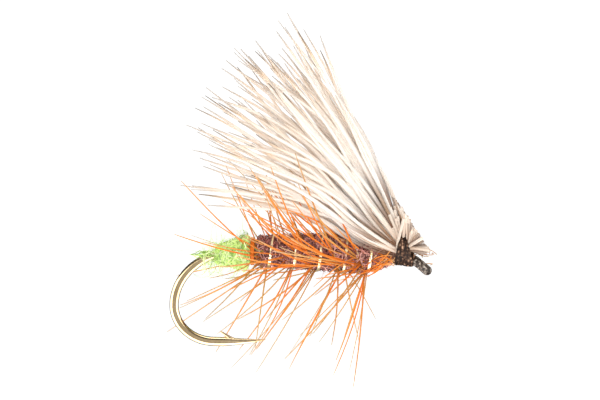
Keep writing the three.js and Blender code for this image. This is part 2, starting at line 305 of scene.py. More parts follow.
def elk_hair_material():
    """Bleached hollow hair: cream with dark tips, darkened by painted shade under the thread and just behind
    the collar. Hairs with a high tint are painted brown there as shade, and those with a low tint have the
    darkest tips."""
    sheen = {"Sheen_Weight": 0.28, "Sheen_Roughness": 0.5}
    surface = Surface("bleached_elk_hair", 0.45, Specular_IOR_Level=0.35, **sheen)
    along, tint = surface.attribute("along"), surface.attribute("tint")
    # Painted shade: the hair darkens from its cut end towards the thread, is darkest under it and stays
    # darker just behind the collar; beyond that it is cream.
    length_stops = [
        (0.0, (0.88, 0.79, 0.70)),
        (0.09, (0.72, 0.58, 0.46)),
        (0.14, (0.28, 0.15, 0.08)),
        (0.165, (0.34, 0.19, 0.11)),
        (0.205, (0.76, 0.63, 0.52)),
        (0.27, (0.91, 0.84, 0.76)),
        (0.40, (0.97, 0.93, 0.88)),
        (1.0, (0.96, 0.91, 0.85)),
    ]
    # A low tint keeps the hair cream and a high tint turns it brown: partly random tone, mostly painted shade
    # on the deep and sunk hairs.
    tone_and_shade_stops = [
        (0.0, (1, 1, 1)),
        (0.3, (0.98, 0.94, 0.9)),
        (0.6, (0.60, 0.41, 0.25)),
        (1.0, (0.20, 0.09, 0.04)),
    ]
    tip_stops = [
        (0.81, (1, 1, 1)),
        (0.90, (0.86, 0.71, 0.54)),
        (0.95, (0.40, 0.30, 0.21)),
        (1.0, (0.13, 0.11, 0.09)),
    ]
    # Painted shade: how strongly the tint browns the hair, strongest beside the collar and fading out before
    # halfway along.
    collar_shade_stops = [(0.0, 0.6), (0.07, 0.85), (0.12, 1), (0.24, 1), (0.33, 0.8), (0.46, 0.06)]
    length = surface.ramp(along, length_stops)
    tone_and_shade = surface.mix(1.0, length, surface.ramp(tint, tone_and_shade_stops), "MULTIPLY")
    base = surface.mix(surface.ramp(along, collar_shade_stops), length, tone_and_shade)
    tipped = surface.mix(1.0, base, surface.ramp(along, tip_stops), "MULTIPLY")
    base = surface.mix(surface.ramp(tint, [(0.25, 1), (0.6, 0.5)]), base, tipped)
    mottle = surface.noise(3.0)
    color = surface.mix(surface.spread(mottle, -0.35, 0.32), base, (0.74, 0.60, 0.48))
    surface.color(color)
    surface.glow_through(surface.mix(1.0, color, (1.0, 0.94, 0.85), "MULTIPLY"), 0.25)
    return surface.finish(mottle, 0.36, 0.6, 16.0, 0.01)


def hackle_material():
    """Cock hackle: deep orange-brown at the quill, bright orange along the barb and pale at its tip, partly
    its own colour and partly painted light shining through the thin tip. Barbs with a high tint are tan
    instead."""
    surface = Surface("orange_brown_hackle", 0.32, Specular_IOR_Level=0.25)
    along, tint = surface.attribute("along"), surface.attribute("tint")
    # The pale last stops are partly the barb's own colour and partly painted light through its thin tip.
    orange_stops = [
        (0.0, (0.33, 0.07, 0.010)),
        (0.12, (0.74, 0.17, 0.015)),
        (0.55, (0.92, 0.27, 0.028)),
        (0.85, (0.84, 0.36, 0.09)),
        (1.0, (0.74, 0.48, 0.26)),
    ]
    tan_stops = [
        (0.0, (0.20, 0.07, 0.015)),
        (0.12, (0.50, 0.24, 0.05)),
        (0.55, (0.66, 0.40, 0.13)),
        (1.0, (0.60, 0.46, 0.28)),
    ]
    paleness = surface.ramp(tint, [(0.35, 0), (0.6, 0.7), (0.85, 1)])
    base = surface.mix(paleness, surface.ramp(along, orange_stops), surface.ramp(along, tan_stops))
    streak = surface.noise(6.0)
    color = surface.mix(surface.spread(streak, -0.4, 0.4), base, (0.40, 0.11, 0.02))
    surface.color(color)
    surface.glow_through(color, 0.22)
    return surface.finish(streak, 0.25, 0.45, 25.0, 0.006)


def dubbing_material(name, shade, body, light):
    """Spun fur: painted shade in its depths, a tint for each fibre between painted shade and painted
    highlight, and a soft bloom.
    """
    surface = Surface(name, 0.8, Sheen_Weight=0.2, Sheen_Roughness=0.4)
    # Random patches from the shade colour to the light colour: painted shade and painted highlight, with some
    # real tone.
    patches = surface.ramp(surface.noise(2.5), [(0.36, shade), (0.52, body), (0.74, light)])
    # The core has no tint, so it takes the shade colour as painted shade under the fibres; fibres run from
    # painted shade through their own colour to a painted highlight.
    fibre_stops = [(0.1, shade), (0.42, body), (0.62, body), (0.9, light)]
    fibre = surface.ramp(surface.attribute("tint"), fibre_stops)
    surface.color(surface.mix(0.75, patches, fibre))
    return surface.finish(surface.noise(12.0), 0.65, 0.95, 30.0, 0.012)


def thread_material():
    """Waxed dark brown tying thread with lighter strands."""
    surface = Surface("waxed_brown_thread", 0.5, Specular_IOR_Level=0.12)
    wax_stops = [
        (0.38, (0.008, 0.004, 0.003)),
        (0.5, (0.026, 0.014, 0.009)),
        (0.58, (0.08, 0.048, 0.032)),
        (0.68, (0.26, 0.18, 0.13)),
    ]
    strand_stops = [
        (0.0, (0.35, 0.3, 0.25)),
        (0.6, (1.1, 0.95, 0.85)),
        (0.8, (2.4, 2.1, 1.9)),
        (1.0, (4.5, 4.0, 3.7)),
    ]
    wax = surface.ramp(surface.noise(6.5, 4.0), wax_stops)
    strand = surface.ramp(surface.attribute("tint"), strand_stops)
    surface.color(surface.mix(1.0, wax, strand, "MULTIPLY"))
    return surface.finish(surface.noise(9.0), 0.35, 0.65, 9.0, 0.03)


def hook_material():
    """Bronzed spring steel, polished, with the fine marks of drawing and forging."""
    surface = Surface("bronzed_hook_steel", 0.1, Metallic=1.0)
    tone = surface.noise(0.8)
    grain = surface.noise(9.0, stretch=(1, 3, 1))
    base = surface.ramp(tone, [(0.3, (0.46, 0.34, 0.18)), (0.7, (0.64, 0.50, 0.31))])
    surface.color(surface.mix(surface.spread(grain, -0.1, 0.4), base, (0.27, 0.18, 0.10)))
    return surface.finish(grain, 0.03, 0.10, 14.0, 0.002)


def varnished_steel_material():
    """The hook's eye under dried head varnish: dark, with grey specks where it is scuffed."""
    surface = Surface("varnished_eye_steel", 0.35, Specular_IOR_Level=0.25)
    speckle_stops = [
        (0.38, (0.010, 0.006, 0.004)),
        (0.5, (0.045, 0.030, 0.022)),
        (0.58, (0.26, 0.21, 0.17)),
        (0.68, (0.52, 0.46, 0.40)),
    ]
    surface.color(surface.ramp(surface.noise(6.5, 4.0), speckle_stops))
    return surface.finish(surface.noise(10.0), 0.25, 0.6, 7.0, 0.05)


def rib_material():
    """Flat pale gold tinsel, lighter and darker in patches, and dulled in its scratches."""
    surface = Surface("pale_gold_tinsel", 0.25, Metallic=0.85)
    wear = surface.noise(7.0)
    surface.color(surface.ramp(wear, [(0.3, (0.80, 0.58, 0.24)), (0.6, (0.98, 0.86, 0.56))]))
    return surface.finish(wear, 0.2, 0.42, 20.0, 0.006)


# Hook

BEND_START = -10.3
BEND_REAR = (-13.5, -2.62)
BEND_BOTTOM = (-11.3, -4.6)
POINT_TIP = (-8.38, -4.4)
POINT_TIP_SHARE = 0.06
POINT_TAPER = 2.3
POINT_TAPER_POWER = 0.85
WIRE_RADIUS = 0.22
FORGED_HALF_HEIGHT = 0.25
FORGED_HALF_WIDTH = 0.17
FORGED_POWER = 0.93
FORGING_FADE = (8.6, 9.8)
BARB_LINE = ((-10.15, 0, -4.50), (-10.4, 0, -4.36), (-10.62, 0, -4.2), (-10.92, 0, -4.02))
BARB_RADII = (0.17, 0.012)
NECK_BEND = 0.2
NECK_FADE = 0.5
EYE_DROOP = math.radians(38)
EYE_RING_RADIUS = 0.42
EYE_WIRE_RADIUS = 0.21
EYE_SEAM = 0.09
VARNISH_DEPTH = 0.055
VARNISH_SPREAD = (0.8, 1.1)

LEG_STEPS = 30
LOWER_BEND_STEPS = 60
UPPER_BEND_STEPS = 80
SHANK_STEPS = 60
EYE_STEPS = 72
BARB_STEPS = 14
WIRE_SIDES = 32


def quarter(middle, radii, start, count):
    """A quarter of an ellipse, turning clockwise from the start angle in degrees."""
    angles = np.radians(np.linspace(start, start - 90, count))
    return np.stack([middle[0] + radii[0] * np.cos(angles), middle[1] + radii[1] * np.sin(angles)], 1)


def rounded_corner(start, corner, end, count):
    """A curve from start to end that bends towards the corner."""
    t = np.linspace(0, 1, count)[:, None]
    return (1 - t) ** 2 * np.array(start) + 2 * t * (1 - t) * np.array(corner) + t**2 * np.array(end)


def hook_line():
    """The wire's middle line in the hook's plane, from the point round the bend to the eye."""
    knee = ((POINT_TIP[0] + BEND_BOTTOM[0]) / 2, BEND_BOTTOM[1])
    leg = rounded_corner(POINT_TIP, knee, BEND_BOTTOM, LEG_STEPS)
    lower_radii = (BEND_BOTTOM[0] - BEND_REAR[0], BEND_REAR[1] - BEND_BOTTOM[1])
    lower = quarter((BEND_BOTTOM[0], BEND_REAR[1]), lower_radii, 270, LOWER_BEND_STEPS)
    upper_radii = (BEND_START - BEND_REAR[0], SHANK_HEIGHT - BEND_REAR[1])
    upper = quarter((BEND_START, BEND_REAR[1]), upper_radii, 180, UPPER_BEND_STEPS)
    ring_rear = np.array([-math.cos(EYE_DROOP), math.sin(EYE_DROOP)]) * EYE_RING_RADIUS
    turn = ring_rear[0] - (SHANK_HEIGHT - ring_rear[1]) / math.tan(EYE_DROOP)
    shank_x = np.linspace(BEND_START, turn - NECK_BEND, SHANK_STEPS)
    shank = np.stack([shank_x, np.full(SHANK_STEPS, SHANK_HEIGHT)], 1)
    neck = rounded_corner(shank[-1], (turn, SHANK_HEIGHT), ring_rear, LEG_STEPS)
    return np.concatenate([leg, lower[1:], upper[1:], shank[1:], neck[1:]])


def wire_height(x):
    """The height of the wire's middle at x, on the shank or on the upper part of the bend."""
    share = np.clip((BEND_START - x) / (BEND_START - BEND_REAR[0]), 0, 1)
    return SHANK_HEIGHT - (SHANK_HEIGHT - BEND_REAR[1]) * (1 - np.sqrt(1 - share**2))


def hook_section(travel, total):
    """Half height in the hook's plane, half width across it, and how forged the wire is, at a distance
    from the point."""
    taper = lerp(POINT_TIP_SHARE, 1.0, np.clip(travel / POINT_TAPER, 0, 1) ** POINT_TAPER_POWER)
    forged = 1 - smoothstep(travel, *FORGING_FADE)
    neck = smoothstep(travel, total - NECK_FADE, total)
    radius = lerp(WIRE_RADIUS, EYE_WIRE_RADIUS, neck)
    half_height = lerp(radius, FORGED_HALF_HEIGHT, forged) * taper
    half_width = lerp(radius, FORGED_HALF_WIDTH, forged) * taper
    return half_height, half_width, forged


def superellipse(angle, power):
    """Directions of a section that is round at power 1 and squarer below it."""
    c, s = np.cos(angle), np.sin(angle)
    return np.sign(c) * np.abs(c) ** power, np.sign(s) * np.abs(s) ** power


def hook_wire():
    line = hook_line()
    centre = np.stack([line[:, 0], np.zeros(len(line)), line[:, 1]], 1)
    tangent = unit(np.gradient(centre, axis=0))
    up = np.cross(tangent, FAR)
    steps = np.linalg.norm(np.diff(centre, axis=0), axis=1)
    travel = np.concatenate([[0], np.cumsum(steps)])
    high, wide, forged = hook_section(travel, travel[-1])
    angle = (np.arange(WIRE_SIDES) + 0.5) / WIRE_SIDES * math.tau
    across, along = superellipse(angle[None], lerp(1.0, FORGED_POWER, forged)[:, None])
    rings = centre[:, None] + FAR * (across * wide[:, None])[..., None]
    rings = rings + up[:, None] * (along * high[:, None])[..., None]
    return sleeve("hook_wire", rings, hook_material())


def eye_ring():
    """The wire's end bent round into the eye: it closes against the shank with a fine seam."""
    turn = np.linspace(EYE_SEAM, math.tau - EYE_SEAM, EYE_STEPS) + math.pi
    forward = np.array([math.cos(EYE_DROOP), 0, -math.sin(EYE_DROOP)])
    path = forward * np.cos(turn)[:, None] * EYE_RING_RADIUS + FAR * np.sin(turn)[:, None] * EYE_RING_RADIUS
    ring = Strands(seed=3)
    varnish = VARNISH_DEPTH * lerp(*VARNISH_SPREAD, ring.rng.random((1, EYE_STEPS)))
    ring.add(path[None], EYE_WIRE_RADIUS + varnish, sides=20)
    return ring.build("hook_eye_ring", varnished_steel_material())


def point_barb():
    """The barb, a sliver cut up from the wire and curving back to a fine tip."""
    path = smooth_curve(np.array(BARB_LINE), BARB_STEPS)
    radii = np.linspace(*BARB_RADII, BARB_STEPS)
    barb = Strands(seed=4)
    barb.add(path[None], radii[None], sides=12, flatness=0.75, outward=FAR[None, None])
    return barb.build("hook_point_barb", hook_material())


# Windings of fur

WINDING_HOLE = THREAD_RADIUS * 1.15
SAME_STATION = 0.002
CORE_STEPS = 90
CORE_SIDES = 72
CORE_ROUNDING = (0.25, 0.02)
FIBRE_ROUNDING = (0.2, 0.05)


def winding_profile(node):
    """Stations of a CAD winding, as rows of x, middle height and radius, read from its outer rings."""
    points = np.array([vertex.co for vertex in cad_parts[node].data.vertices]) / MM
    rows = []
    for x in np.unique(np.round(points[:, 0], 3)):
        heights = points[np.abs(points[:, 0] - x) < SAME_STATION][:, 2]
        radius = (heights.max() - heights.min()) / 2
        if radius > WINDING_HOLE:
            rows.append((x, (heights.max() + heights.min()) / 2, radius))
    return np.array(rows)


def profile_at(rows, x):
    return np.interp(x, rows[:, 0], rows[:, 1]), np.interp(x, rows[:, 0], rows[:, 2])


def rounded_ends(rows, x, rounding, least):
    """How full a winding is at x: 1 along most of it, and less over the rounding at its ends."""
    edge = np.minimum(x - rows[0, 0], rows[-1, 0] - x)
    return np.sqrt(np.clip(edge / rounding, least, 1))


ABDOMEN = winding_profile("dubbed_abdomen")
BUTT = winding_profile("egg_sac_butt")


def fur_core(name, rows, material, inset, lumps, seed):
    """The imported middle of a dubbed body: a skin with soft lumps along the twist of the fur. inset is
    its depth under the CAD winding, and lumps how much it swells, as a share of its radius."""
    xs = np.linspace(rows[0, 0], rows[-1, 0], CORE_STEPS)
    heights, radii = profile_at(rows, xs)
    ends = rounded_ends(rows, xs, *CORE_ROUNDING)
    angles = np.arange(CORE_SIDES) / CORE_SIDES * math.tau
    rings = np.zeros((CORE_STEPS, CORE_SIDES, 3))
    for step, x in enumerate(xs):
        for side, angle in enumerate(angles):
            twist = Vector((x * 2.2 + angle * 0.35, math.cos(angle) * 1.2, math.sin(angle) * 1.2 + seed))
            swell = 1 + lumps * noise.noise(twist) + lumps * 0.5 * noise.noise(twist * 3.1)
            radius = (radii[step] - inset) * ends[step] * swell
            rings[step, side] = (x, -radius * math.cos(angle), heights[step] + radius * math.sin(angle))
    return sleeve(name, rings, material)


def surface_fibres(strands, rows, count, length, radius, lift, curl):
    """Short crinkled fibres that lie on a dubbed body, mostly the way the fur is wound. lift is how
    high their middles stand, and curl how much they change direction at each step."""
    rng = strands.rng
    steps = 9
    x = rng.uniform(rows[0, 0], rows[-1, 0], count)
    angle = rng.uniform(0, math.tau, count)
    heading = rng.normal(0, 0.8, count)
    lengths = length * rng.uniform(0.5, 1.4, count)
    paths = np.zeros((count, steps, 3))
    for step in range(steps):
        middle, around = profile_at(rows, x)
        around = around * rounded_ends(rows, x, *FIBRE_ROUNDING)
        bow = math.sin(step / (steps - 1) * math.pi)
        height = around + lift * (bow * rng.uniform(0.2, 1.2, count) - 0.3)
        paths[:, step], _ = round_line(x, middle, angle, height)
        stride = lengths / (steps - 1)
        angle = angle + stride * np.cos(heading) / np.maximum(around, 0.2)
        x = x + stride * np.sin(heading)
        heading = heading + rng.normal(0, curl, count)
    slim = 1 - 0.75 * np.abs(np.linspace(0, 1, steps) * 2 - 1) ** 3
    radii = radius * slim[None] * rng.uniform(0.6, 1.2, count)[:, None]
    strands.add(paths, radii, sides=3)


def loose_fibres(strands, rows, count, length, radius):
    """Stray fibres that stand off a dubbed body in short curls."""
    rng = strands.rng
    steps = 8
    x = rng.uniform(rows[0, 0], rows[-1, 0], count)
    angle = rng.uniform(0, math.tau, count)
    middle, around = profile_at(rows, x)
    around = around * rounded_ends(rows, x, *FIBRE_ROUNDING)
    root, out = round_line(x, middle, angle, around - 0.06)
    way = unit(out + rng.normal(0, 0.7, (count, 3)))
    turn = rng.normal(0, 1.0, (count, 3))
    stride = (length * rng.uniform(0.3, 1.3, count) / (steps - 1))[:, None]
    path = [root]
    for _ in range(steps - 1):
        path.append(path[-1] + way * stride)
        way = unit(way + np.cross(turn, way) * 0.45)
    radii = radius * np.linspace(1, 0.5, steps)[None] * rng.uniform(0.7, 1.2, count)[:, None]
    strands.add(np.stack(path, 1), radii, sides=3)


# shade is painted shade for the fur's depths and darkest fibres, body the fur's own colour, and light a
# painted highlight on the lightest fibres.
BROWN_FUR = {"shade": (0.025, 0.005, 0.004), "body": (0.31, 0.08, 0.058), "light": (0.90, 0.48, 0.40)}
LIME_FUR = {"shade": (0.11, 0.26, 0.02), "body": (0.74, 0.97, 0.28), "light": (1.0, 1.0, 0.75)}

# Wisps that run from the abdomen to the collar, as rows of x, middle height and radius
FRONT_WISPS = np.array([[-2.4, 0.1, 0.5], [-1.9, 0.26, 0.36], [-1.45, 0.38, 0.26]])
WIDE_BUTT_X = -10.5
TAIL_SHIFT = 0.25


def dubbed_abdomen():
    material = dubbing_material("brown_fur", **BROWN_FUR)
    core = fur_core("abdomen_fur_core", ABDOMEN, material, inset=0.10, lumps=0.05, seed=3.0)
    fur = Strands(seed=21)
    surface_fibres(fur, ABDOMEN, count=1350, length=1.2, radius=0.029, lift=0.22, curl=1.2)
    surface_fibres(fur, FRONT_WISPS, count=240, length=0.7, radius=0.024, lift=0.1, curl=1.2)
    loose_fibres(fur, ABDOMEN, count=380, length=0.7, radius=0.013)
    fibres = fur.build("abdomen_fur_fibres", material)
    finished(core, "brown_dubbing", "dubbed_abdomen")
    finished(fibres, "brown_dubbing")


SLIPPED_X = -12.0
SLIPPED_TURN_STEPS = 60
SLIPPED_TURN_RADII = (0.24, 0.33)

# Loops below the wire: how low they hang, how far forward they reach, and where they start across it
SLIPPED_LOOPS = ((0.75, 0.7, -0.22), (0.5, 0.95, 0.1), (0.95, 0.45, -0.1), (0.4, 0.6, -0.3), (0.85, 1.1, 0.2))
SLIPPED_LOOP_STEPS = 18


def wire_loops(fur):
    """Fur that has slipped down the bend: two turns round the wire and loose loops that hang from it."""
    wire = wire_height(SLIPPED_X)
    angle = np.linspace(0, 2 * math.tau, SLIPPED_TURN_STEPS)
    across, up = SLIPPED_TURN_RADII
    turns = np.stack([SLIPPED_X + angle * 0.012, across * np.cos(angle), wire + up * np.sin(angle)], 1)
    fur.add(turns[None], 0.024, sides=6, tints=0.8)
    for hang, reach, side in SLIPPED_LOOPS:
        start = np.array([SLIPPED_X - 0.05, side, wire - 0.22])
        low = start + [reach * 0.2, 0.05, -hang]
        back = start + [reach * 1.1, -0.05, -hang * 0.8]
        end = start + [reach, -side, 0.3]
        loop = smooth_curve(np.stack([start, low, back, end]), SLIPPED_LOOP_STEPS)
        fur.add(loop[None], 0.015, sides=4, tints=0.9)


def egg_sac_butt():
    material = dubbing_material("lime_fur", **LIME_FUR)
    core = fur_core("egg_sac_fur_core", BUTT, material, inset=0.15, lumps=0.06, seed=9.0)
    fur = Strands(seed=22)
    tail = BUTT[BUTT[:, 0] < WIDE_BUTT_X] - [TAIL_SHIFT, 0, 0]
    surface_fibres(fur, BUTT, count=520, length=1.3, radius=0.033, lift=0.26, curl=0.4)
    loose_fibres(fur, BUTT, count=330, length=1.0, radius=0.013)
    loose_fibres(fur, tail, count=90, length=2.2, radius=0.013)
    wire_loops(fur)
    fibres = fur.build("egg_sac_fur_fibres", material)
    finished(core, "chartreuse_dubbing", "egg_sac_butt")
    finished(fibres, "chartreuse_dubbing")


# Rib and hackle

WRAP_START = -9.3
WRAP_PITCH = 1.365
WRAP_TURNS = 5
WRAP_SKEW = 0.15
RIB_START = -0.42
RIB_HALF_WIDTH = 0.085
RIB_FLATNESS = 0.42
RIB_LIFT = 0.07
RIB_OVER_QUILL = 0.096
QUILL_RADII = (0.06, 0.045)
FIRST_WRAP_RADIUS = 0.07


def wrap_points(direction, turns, lift):
    """Points wound round the abdomen from its top: the rib climbs the near side as it goes forward,
    in direction 1, and the quill comes down it, in direction -1. Also gives the way out at each."""
    angle = math.pi / 2 + direction * turns * math.tau
    x = WRAP_START + turns * WRAP_PITCH - WRAP_SKEW * np.sin(angle)
    middle, around = profile_at(ABDOMEN, x)
    spot, out = round_line(x, middle, angle, around + lift)
    return spot, out, angle


def rib_wire():
    """The flat rib, a little uneven in width, which rises over the quill where they cross."""
    turns = np.linspace(RIB_START, WRAP_TURNS, WRAP_TURNS * 60)
    _, _, angle = wrap_points(1, turns, turns * 0)
    over_quill = RIB_OVER_QUILL * smoothstep(np.abs(np.sin(angle)), 0.4, 0.8)
    path, out, _ = wrap_points(1, turns, over_quill + RIB_LIFT)
    half_width = RIB_HALF_WIDTH * (0.82 - 0.25 * np.sin(angle + 0.4 * np.sin(turns * 9)))
    rib = Strands(seed=31)
    rib.add(path[None], half_width[None], sides=12, flatness=RIB_FLATNESS, outward=out[None])
    finished(rib.build("gold_rib", rib_material()), "gold_rib", "rib_wire")


class Barbs(NamedTuple):
    """Barbs that grow from one part of the quill's turns, between the first and last of turns. share is
    the part of a turn, from its top down the near side, lean is how far they lean back on the rear and
    the front turns, spread is how unevenly, and climb how far they swing up, in degrees."""
    count: int
    share: tuple
    lean: tuple
    climb: tuple
    length: float
    tints: tuple
    stoutness: float
    turns: tuple = (0, WRAP_TURNS)
    spread: float = 17


BARB_GROUPS = (
    Barbs(44, (0.28, 0.72), (36, 14), (0, 0), 6.7, (0.3, 1.0), 1.0),
    Barbs(24, (0.26, 0.44), (66, 60), (14, 70), 5.6, (0.0, 0.7), 1.15, spread=18),
    Barbs(12, (0.26, 0.42), (68, 62), (24, 70), 5.0, (0.0, 0.4), 1.25, turns=(2, 5)),
    Barbs(16, (0.28, 0.46), (74, 78), (4, 40), 4.2, (0.0, 0.5), 1.05, turns=(3, 5)),
    Barbs(18, (0.20, 0.50), (82, 82), (-14, 34), 3.2, (0.0, 0.5), 1.0, turns=(4, 6)),
    Barbs(16, (0.56, 0.74), (64, 60), (20, 70), 6.0, (0.2, 0.9), 0.9),
    Barbs(3, (0.34, 0.44), (76, 76), (0, 20), 4.6, (0.0, 0.6), 1.2),
    Barbs(12, (-0.12, 0.14), (20, 66), (0, 30), 5.4, (0.2, 1.0), 0.9),
)
BARB_STATIONS = (0.0, 0.25, 0.5, 0.75, 1.0)
HACKLE_STEPS = 12
TIP_CURLS = 12
TIP_CURL_STEPS = 10
FRONT_BARBS = 24
FRONT_SLOPE = (-2.4, -1.5)


def barbs_round(rng, group):
    """The controls of a group's barbs, one for each of the stations along a barb."""
    count = group.count
    turn = np.sort(rng.integers(*group.turns, count) + rng.normal(0, 0.02, count))
    at = np.clip(turn + rng.uniform(*group.share, count), 0.03, WRAP_TURNS + 0.55)
    root, out, _ = wrap_points(-1, at, np.full(count, -0.02))
    angle = np.radians(lerp(*group.lean, at / WRAP_TURNS) + rng.normal(0, group.spread, count))
    swing = np.radians(rng.uniform(*group.climb, count))
    back = np.stack([-np.cos(swing), np.zeros(count), np.sin(swing)], 1)
    side = np.stack([np.zeros(count), out[:, 2], -out[:, 1]], 1)
    way = out * np.cos(angle)[:, None] + back * np.sin(angle)[:, None]
    way = unit(way + side * rng.normal(0, 0.16, count)[:, None])
    reach = (group.length * rng.uniform(0.72, 1.05, count))[:, None]
    bow = side * rng.normal(0, 0.4, count)[:, None] + back * rng.normal(0.25, 0.45, count)[:, None]
    bow[:, 2] += rng.normal(0, 0.35, count) + 0.7 * np.sin(swing)
    return np.stack([root + way * reach * part + bow * part**2 for part in BARB_STATIONS], 1)


def add_tip_curls(feather):
    """The feather's tied-off tip: a few short amber curls between the butts of the hair and the eye."""
    rng = feather.rng
    roots = rng.uniform((-0.55, -0.5, 0.5), (0.12, 0.4, 0.72), (TIP_CURLS, 3))
    steps = rng.normal((0.1, 0, 0.02), 0.16, (5, TIP_CURLS, 3))
    paths = smooth_curve((roots + np.cumsum(steps, axis=0)).transpose(1, 0, 2), TIP_CURL_STEPS)
    feather.add(paths, 0.022, sides=5, tints=rng.uniform(0.5, 0.85, TIP_CURLS))


def add_front_nest(feather):
    """Barbs that the last wraps of thread trapped along the near side of the body's front end."""
    rng, count = feather.rng, FRONT_BARBS
    x = rng.uniform(-3.5, -1.6, count)
    angle = rng.uniform(math.radians(-38), math.radians(30), count)
    around = np.interp(x, FRONT_SLOPE, [0.56, 0.32]) + rng.uniform(0.02, 0.16, count)
    middles, _ = round_line(x, np.interp(x, FRONT_SLOPE, [0.08, 0.25]), angle, around)
    ahead, across = rng.uniform(0.4, 0.9, count), rng.uniform(-0.1, 0.25, count)
    half = np.stack([ahead, across, rng.normal(0.16, 0.26, count)], 1)
    rise = rng.normal(-0.12, 0.16, count)[:, None] * [0, 0, 1]
    inner = (middles - half * 0.3 + rise, middles + half * 0.4 + rise)
    controls = np.stack([middles - half, *inner, middles + half], 1)
    controls[..., 0] = np.minimum(controls[..., 0], FRONT_SLOPE[1])
    wide = np.interp(np.linspace(0, 1, HACKLE_STEPS), [0, 0.5, 1], [0.012, 0.032, 0.03])
    radii = wide[None] * rng.uniform(0.7, 1.2, (count, 1))
    feather.add(smooth_curve(controls, HACKLE_STEPS), radii, sides=5, tints=rng.uniform(0, 0.5, count))


def add_quill(feather):
    """The quill wound round the body, and its first two turns close together at the butt."""
    turns = np.linspace(0, WRAP_TURNS, WRAP_TURNS * 40)
    path, _, _ = wrap_points(-1, turns, np.zeros(len(turns)))
    feather.add(path[None], lerp(*QUILL_RADII, turns / WRAP_TURNS)[None], sides=8)
    first = np.linspace(0, 1, 80)
    x = lerp(WRAP_START - 0.09, WRAP_START + 0.09, first)
    band = coil(x, first * 2 * math.tau, ABDOMEN[0, 1], ABDOMEN[0, 2] + 0.10)
    feather.add(band[None], FIRST_WRAP_RADIUS, sides=8, tints=0.3, along=0.12)


def hackle_feather():
    feather = Strands(seed=41)
    rng = feather.rng
    add_quill(feather)
    paths = smooth_curve(np.concatenate([barbs_round(rng, group) for group in BARB_GROUPS]), HACKLE_STEPS)
    tints = np.concatenate([rng.uniform(*group.tints, group.count) for group in BARB_GROUPS])
    stout = np.concatenate([np.full(group.count, group.stoutness) for group in BARB_GROUPS])
    shape = np.linspace(0, 1, HACKLE_STEPS)
    wide = np.interp(shape, [0, 0.05, 0.45, 0.75, 1.0], [0.03, 0.044, 0.036, 0.026, 0.010])
    radii = wide[None] * (stout * rng.uniform(0.7, 1.25, len(paths)))[:, None]
    feather.add(paths, radii, 6, flatness=0.7, outward=np.broadcast_to(FAR, paths.shape), tints=tints)
    add_tip_curls(feather)
    add_front_nest(feather)
    finished(feather.build("hackle_feather_barbs", hackle_material()), "brown_hackle", "hackle_feather")


# Elk hair

HAIR_COUNT = 172
HAIR_RADIUS = 0.112
PINCHED_RADIUS = 0.05
COLLAR_SHARE = 0.15
HAIR_LENGTHS = ((0.0, 0.3, 0.6, 0.85, 1.0), (13.3, 14.1, 14.0, 13.8, 12.0))
BUNDLE_RADIUS = 0.88
TRIM_FOOT = np.array([0.16, 0.0, 0.60])
TRIM_LOW = np.array([0.37, 0.0, 0.88])
TRIM_HIGH = np.array([-1.65, 0.0, 3.58])
TRIM_NORMAL = np.array([0.797, 0.0, 0.604])
GOLDEN_TURN = math.pi * (3 - math.sqrt(5))
TUFTS = 26

# The rise of the lowest and the highest hairs over the shank, in degrees, at shares of their length
RISE_SHARES = (0.0, 0.1, 0.2, 0.33, 0.45, 0.6, 0.8, 1.0)
RISE_LOW = (6, 12, 22, 34, 27, 11, 11, 12)
RISE_HIGH = (86, 73, 67, 64, 62, 61, 59, 56)
HAIR_STEPS = 40
BUTT_STEPS = 12

# Stray butts that stand out on either side of the wing, from their tips to their roots
SIDE_BUTT_TIPS = ((-1.10, -1.12, 2.55), (-1.9, -0.95, 2.75), (-1.0, 1.1, 2.3), (-1.6, 1.1, 2.5))
SIDE_BUTT_ROOTS = ((-1.42, -0.86, 1.15), (-1.35, -0.8, 1.6), (-1.2, 0.88, 1.1), (-1.3, 0.85, 1.2))
UPRIGHT_BUTTS = 48
UPRIGHT_HEIGHT = 1.7
STRAY_STEPS = 10
LOCKS = 8


def bundle_places():
    """Where the hairs cross the collar: sideways and upward from its middle, in bundle radii. They
    are packed evenly inside the thread and leave room for the shank."""
    index = np.arange(HAIR_COUNT) + 0.5
    spread = np.sqrt(index / HAIR_COUNT)
    aside, above = spread * np.cos(index * GOLDEN_TURN), spread * np.sin(index * GOLDEN_TURN)
    y, z = aside * BUNDLE_RADIUS, COLLAR_HEIGHT + above * BUNDLE_RADIUS
    off_shank = np.hypot(y, z - SHANK_HEIGHT) > THREAD_RADIUS + 0.06
    over_shank = (z > SHANK_HEIGHT - 0.1) | (np.abs(y) > THREAD_RADIUS + 0.1)
    keep = off_shank & over_shank
    return aside[keep], above[keep]


def heading(rise, turn):
    """Backward directions from their rise over the shank and their turn to the side."""
    level = np.cos(rise) * np.cos(turn)
    return np.stack([-level, np.cos(rise) * np.sin(turn), np.sin(rise)], -1)


def fan_rank(above):
    """Each hair's place in the fan, from 0 for the lowest to 1 for the highest."""
    order = np.argsort(np.argsort(above)) / (len(above) - 1)
    return lerp((above + 1) / 2, order, 0.75)


